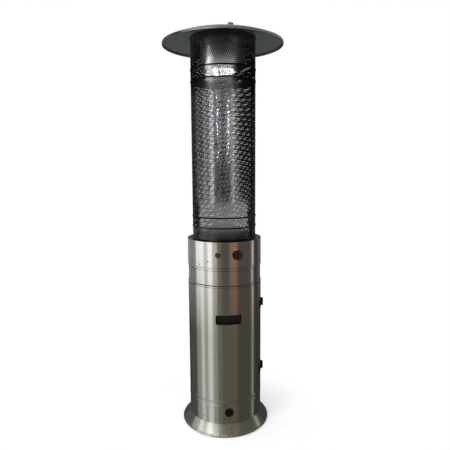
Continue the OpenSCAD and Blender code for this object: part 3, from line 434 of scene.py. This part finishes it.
# the strong ones light only the pieces that they name; to all others they are black
REACH = {}
for name, pieces in (
        ("guard", [guard]),
        ("deck", [guard] + [NODES[n] for n in ("burner_cup", "burner_deck", "knob_bezel",
                                               "control_knob", "igniter_bezel", "igniter_button")]),
        ("inside", [NODES[n] for n in ("glass_tube", "tube_collar", "emitter_screen")]),
        ("collar", [NODES["tube_collar"]]),
        ("front", [NODES["tube_collar"], guard]),
        ("housing", [NODES[n] for n in ("lower_collar", "housing_shell", "door_panel",
                                        "control_drum")])):
    REACH[name] = bpy.data.collections.new(name)
    for piece in pieces:
        REACH[name].objects.link(piece)


def card(name, bm, top, foot, strength, reach=None):
    """A card that only mirrors see, out of a mesh; its colour runs from foot to top."""
    mesh = bpy.data.meshes.new(name)
    bm.to_mesh(mesh)
    bm.free()
    piece = bpy.data.objects.new(name, mesh)
    scene.collection.objects.link(piece)
    for ray in ("camera", "diffuse", "shadow", "transmission", "volume_scatter"):
        setattr(piece, "visible_" + ray, False)
    mat = bpy.data.materials.new(name)
    mat.use_nodes = True
    tree = mat.node_tree
    tree.nodes.clear()
    place = add(tree, "ShaderNodeTexCoord").outputs["Object"]
    height = add(tree, "ShaderNodeSeparateXYZ", Vector=place).outputs["Z"]
    part = add(tree, "ShaderNodeMapRange", Value=height, From_Min=TINT_LOW, From_Max=TINT_HIGH)
    glow = add(tree, "ShaderNodeEmission", Color=tone(tree, part.outputs[0], foot, top),
               Strength=strength)
    add(tree, "ShaderNodeOutputMaterial", Surface=glow.outputs[0])
    mesh.materials.append(mat)
    if reach:
        piece.light_linking.receiver_collection = REACH[reach]


for i, (first, last, low, high, *look) in enumerate(CARDS):
    bm = bmesh.new()
    a = math.radians(first + CAMERA_AZIMUTH)
    edge_at = Vector((math.sin(a), -math.cos(a), 0.0)) * CARD_R
    verts = [bm.verts.new(edge_at + Vector((0, 0, z))) for z in (low, high)]
    edge = bm.edges.new(verts)
    bmesh.ops.spin(bm, geom=[edge, *verts], cent=(0, 0, 0), axis=(0, 0, 1),
                   angle=math.radians(last - first), steps=max(2, (last - first) // CARD_STEP),
                   use_merge=False, use_duplicate=False)
    card("studio_card_%d" % i, bm, *look)
# the ring is closed below by a dark disc, which draws the shade under the rim of the base
bm = bmesh.new()
bmesh.ops.create_circle(bm, cap_ends=True, radius=CARD_R, segments=64,
                        matrix=Matrix.Translation((0, 0, FOOT)))
card("studio_pit", bm, "2C2C2A", "2C2C2A", 1.0)

# the lamp looks at the heater's middle, 1.2 m above the floor
LAMP_AT, LAMP_TO = Vector((-2.2, -2.2, 2.6)), Vector((0.0, 0.0, 1.2))
lamp = bpy.data.lights.new("studio_lamp", "AREA")
lamp.shape = "RECTANGLE"
lamp.size, lamp.size_y = 1.2, 2.4
lamp.energy = 45.0               # watts
lamp_object = bpy.data.objects.new("studio_lamp", lamp)
lamp_object.matrix_world = (Matrix.Translation(LAMP_AT)
                            @ (LAMP_AT - LAMP_TO).to_track_quat("Z", "Y").to_matrix().to_4x4())
scene.collection.objects.link(lamp_object)

# ---- Camera ----
# It stands a little left of the front, a good two metres off and at chest height, and looks
# slightly down at the heater.
CAMERA_DISTANCE = 2.371          # level distance from the heater's axis
CAMERA_HEIGHT = 1.388
CAMERA_PITCH = 7.61              # degrees below the level
CAMERA_ROLL = 0.43               # degrees, clockwise
CAMERA_AIM = 0.11                # degrees by which it aims past the axis, to the right
camera = bpy.data.cameras.new("camera")
camera.lens = camera.sensor_width = 36.0  # a view 53 degrees wide
camera_object = bpy.data.objects.new("camera", camera)
scene.collection.objects.link(camera_object)
a = math.radians(CAMERA_AZIMUTH)
camera_object.matrix_world = (
    Matrix.Translation((math.sin(a) * CAMERA_DISTANCE, -math.cos(a) * CAMERA_DISTANCE,
                        CAMERA_HEIGHT))
    @ Matrix.Rotation(a - math.radians(CAMERA_AIM), 4, "Z")
    @ Matrix.Rotation(math.radians(90 - CAMERA_PITCH), 4, "X")
    @ Matrix.Rotation(math.radians(-CAMERA_ROLL), 4, "Z"))
scene.camera = camera_object
